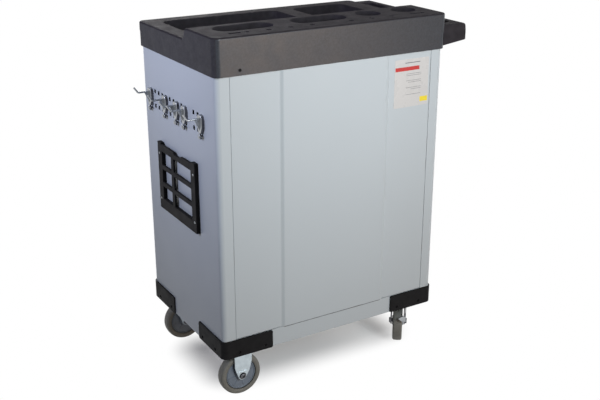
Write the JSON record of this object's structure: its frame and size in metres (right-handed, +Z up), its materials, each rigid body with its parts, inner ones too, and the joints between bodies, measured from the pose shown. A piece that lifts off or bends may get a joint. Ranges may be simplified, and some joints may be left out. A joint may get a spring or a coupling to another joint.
{
  "type": "rolling tool cart",
  "caption": "Closed steel rolling tool cart with full-width drawers, a moulded top tray with pockets and push handle, side hooks, a document holder, corner bumpers and swivel casters.",
  "frame": {"origin": "on the floor, under the middle of the overall box", "axes": "+Z up; -Y is the drawer side and +Y the plain back; +X is the end with the hooks and -X the end with the push handle"},
  "size_m": [0.744, 0.4308, 0.901],
  "materials": {
    "painted_steel": "smooth light cool grey powder coat with a soft satin gloss",
    "moulded_charcoal": "fine-grained matt charcoal moulding",
    "bumper_black": "near-black matt moulding",
    "zinc_plate": "bright zinc plating, slightly streaked",
    "bright_metal": "satin aluminium",
    "tyre_rubber": "smooth olive-grey rubber",
    "hub_plastic": "blue-grey moulded plastic with fine ribs",
    "white_card": "smooth white film"
  },
  "bodies": {
    "cabinet": {"end_panel_right": "painted_steel", "end_panel_left": "painted_steel", "back_panel": "painted_steel", "base_frame": "painted_steel", "top_deck": "painted_steel", "uprights": "zinc_plate", "slide_rails": "zinc_plate", "top_tray": "moulded_charcoal", "push_handle": "moulded_charcoal", "bumper_back_right": "bumper_black", "bumper_back_left": "bumper_black", "bumper_front_right": "bumper_black", "bumper_front_left": "bumper_black", "fixing_screws": "zinc_plate", "tool_hooks": "zinc_plate", "hook_knobs": "zinc_plate", "holder_frame": "bumper_black", "blank_card": "white_card", "lock_barrel": "zinc_plate", "caster_1_bracket": "zinc_plate", "caster_1_axle": "zinc_plate", "caster_2_bracket": "zinc_plate", "caster_2_axle": "zinc_plate", "caster_3_plate": "zinc_plate", "caster_4_plate": "zinc_plate"},
    "lock": {"lock_plug": "bright_metal"},
    "drawer_1": {"drawer_1": "painted_steel", "drawer_1_pull": "bright_metal"},
    "drawer_1_slides": {"drawer_1_slides": "zinc_plate"},
    "drawer_2": {"drawer_2": "painted_steel", "drawer_2_pull": "bright_metal"},
    "drawer_2_slides": {"drawer_2_slides": "zinc_plate"},
    "drawer_3": {"drawer_3": "painted_steel", "drawer_3_pull": "bright_metal"},
    "drawer_3_slides": {"drawer_3_slides": "zinc_plate"},
    "drawer_4": {"drawer_4": "painted_steel", "drawer_4_pull": "bright_metal"},
    "drawer_4_slides": {"drawer_4_slides": "zinc_plate"},
    "drawer_5": {"drawer_5": "painted_steel", "drawer_5_pull": "bright_metal"},
    "drawer_5_slides": {"drawer_5_slides": "zinc_plate"},
    "drawer_6": {"drawer_6": "painted_steel", "drawer_6_pull": "bright_metal"},
    "drawer_6_slides": {"drawer_6_slides": "zinc_plate"},
    "wheel_1": {"caster_1_hub": "hub_plastic", "caster_1_tyre": "tyre_rubber"},
    "wheel_2": {"caster_2_hub": "hub_plastic", "caster_2_tyre": "tyre_rubber"},
    "fork_3": {"caster_3_fork": "zinc_plate", "caster_3_axle": "zinc_plate"},
    "wheel_3": {"caster_3_hub": "hub_plastic", "caster_3_tyre": "tyre_rubber"},
    "brake_3": {"caster_3_brake": "zinc_plate"},
    "fork_4": {"caster_4_fork": "zinc_plate", "caster_4_axle": "zinc_plate"},
    "wheel_4": {"caster_4_hub": "hub_plastic", "caster_4_tyre": "tyre_rubber"},
    "brake_4": {"caster_4_brake": "zinc_plate"}
  },
  "joints": [
    {"name": "drawer_1_travel", "type": "slide", "parent": "cabinet", "child": "drawer_1", "axis": [0, -1, 0], "range_m": [0, 0.35]},
    {"name": "drawer_1_slides_travel", "type": "slide", "parent": "cabinet", "child": "drawer_1_slides", "axis": [0, -1, 0], "range_m": [0, 0.175]},
    {"name": "drawer_2_travel", "type": "slide", "parent": "cabinet", "child": "drawer_2", "axis": [0, -1, 0], "range_m": [0, 0.35]},
    {"name": "drawer_2_slides_travel", "type": "slide", "parent": "cabinet", "child": "drawer_2_slides", "axis": [0, -1, 0], "range_m": [0, 0.175]},
    {"name": "drawer_3_travel", "type": "slide", "parent": "cabinet", "child": "drawer_3", "axis": [0, -1, 0], "range_m": [0, 0.35]},
    {"name": "drawer_3_slides_travel", "type": "slide", "parent": "cabinet", "child": "drawer_3_slides", "axis": [0, -1, 0], "range_m": [0, 0.175]},
    {"name": "drawer_4_travel", "type": "slide", "parent": "cabinet", "child": "drawer_4", "axis": [0, -1, 0], "range_m": [0, 0.35]},
    {"name": "drawer_4_slides_travel", "type": "slide", "parent": "cabinet", "child": "drawer_4_slides", "axis": [0, -1, 0], "range_m": [0, 0.175]},
    {"name": "drawer_5_travel", "type": "slide", "parent": "cabinet", "child": "drawer_5", "axis": [0, -1, 0], "range_m": [0, 0.35]},
    {"name": "drawer_5_slides_travel", "type": "slide", "parent": "cabinet", "child": "drawer_5_slides", "axis": [0, -1, 0], "range_m": [0, 0.175]},
    {"name": "drawer_6_travel", "type": "slide", "parent": "cabinet", "child": "drawer_6", "axis": [0, -1, 0], "range_m": [0, 0.35]},
    {"name": "drawer_6_slides_travel", "type": "slide", "parent": "cabinet", "child": "drawer_6_slides", "axis": [0, -1, 0], "range_m": [0, 0.175]},
    {"name": "lock_turn", "type": "hinge", "parent": "cabinet", "child": "lock", "pos_m": [0.251, -0.201, 0.7995], "axis": [0, -1, 0], "range_deg": [0, 90]},
    {"name": "wheel_1_roll", "type": "hinge", "parent": "cabinet", "child": "wheel_1", "pos_m": [0.264, 0.166, 0.0545], "axis": [0, 1, 0], "continuous": true},
    {"name": "wheel_2_roll", "type": "hinge", "parent": "cabinet", "child": "wheel_2", "pos_m": [0.264, -0.166, 0.0545], "axis": [0, 1, 0], "continuous": true},
    {"name": "fork_3_swivel", "type": "hinge", "parent": "cabinet", "child": "fork_3", "pos_m": [-0.257, 0.121, 0.145], "axis": [0, 0, 1], "continuous": true},
    {"name": "wheel_3_roll", "type": "hinge", "parent": "fork_3", "child": "wheel_3", "pos_m": [-0.2373, 0.14622, 0.0545], "axis": [0.788, -0.6157, 0], "continuous": true},
    {"name": "brake_3_press", "type": "hinge", "parent": "fork_3", "child": "brake_3", "pos_m": [-0.25262, 0.16072, 0.104], "axis": [-0.788, 0.6157, 0], "range_deg": [0, 12]},
    {"name": "fork_4_swivel", "type": "hinge", "parent": "cabinet", "child": "fork_4", "pos_m": [-0.257, -0.121, 0.145], "axis": [0, 0, 1], "continuous": true},
    {"name": "wheel_4_roll", "type": "hinge", "parent": "fork_4", "child": "wheel_4", "pos_m": [-0.24658, -0.15126, 0.0545], "axis": [-0.9455, -0.3256, 0], "continuous": true},
    {"name": "brake_4_press", "type": "hinge", "parent": "fork_4", "child": "brake_4", "pos_m": [-0.22607, -0.14631, 0.104], "axis": [0.9455, 0.3256, 0], "range_deg": [0, 12]}
  ],
  "couplings": [
    {"joint": "drawer_1_slides_travel", "follows": "drawer_1_travel", "ratio": 0.5},
    {"joint": "drawer_2_slides_travel", "follows": "drawer_2_travel", "ratio": 0.5},
    {"joint": "drawer_3_slides_travel", "follows": "drawer_3_travel", "ratio": 0.5},
    {"joint": "drawer_4_slides_travel", "follows": "drawer_4_travel", "ratio": 0.5},
    {"joint": "drawer_5_slides_travel", "follows": "drawer_5_travel", "ratio": 0.5},
    {"joint": "drawer_6_slides_travel", "follows": "drawer_6_travel", "ratio": 0.5}
  ]
}
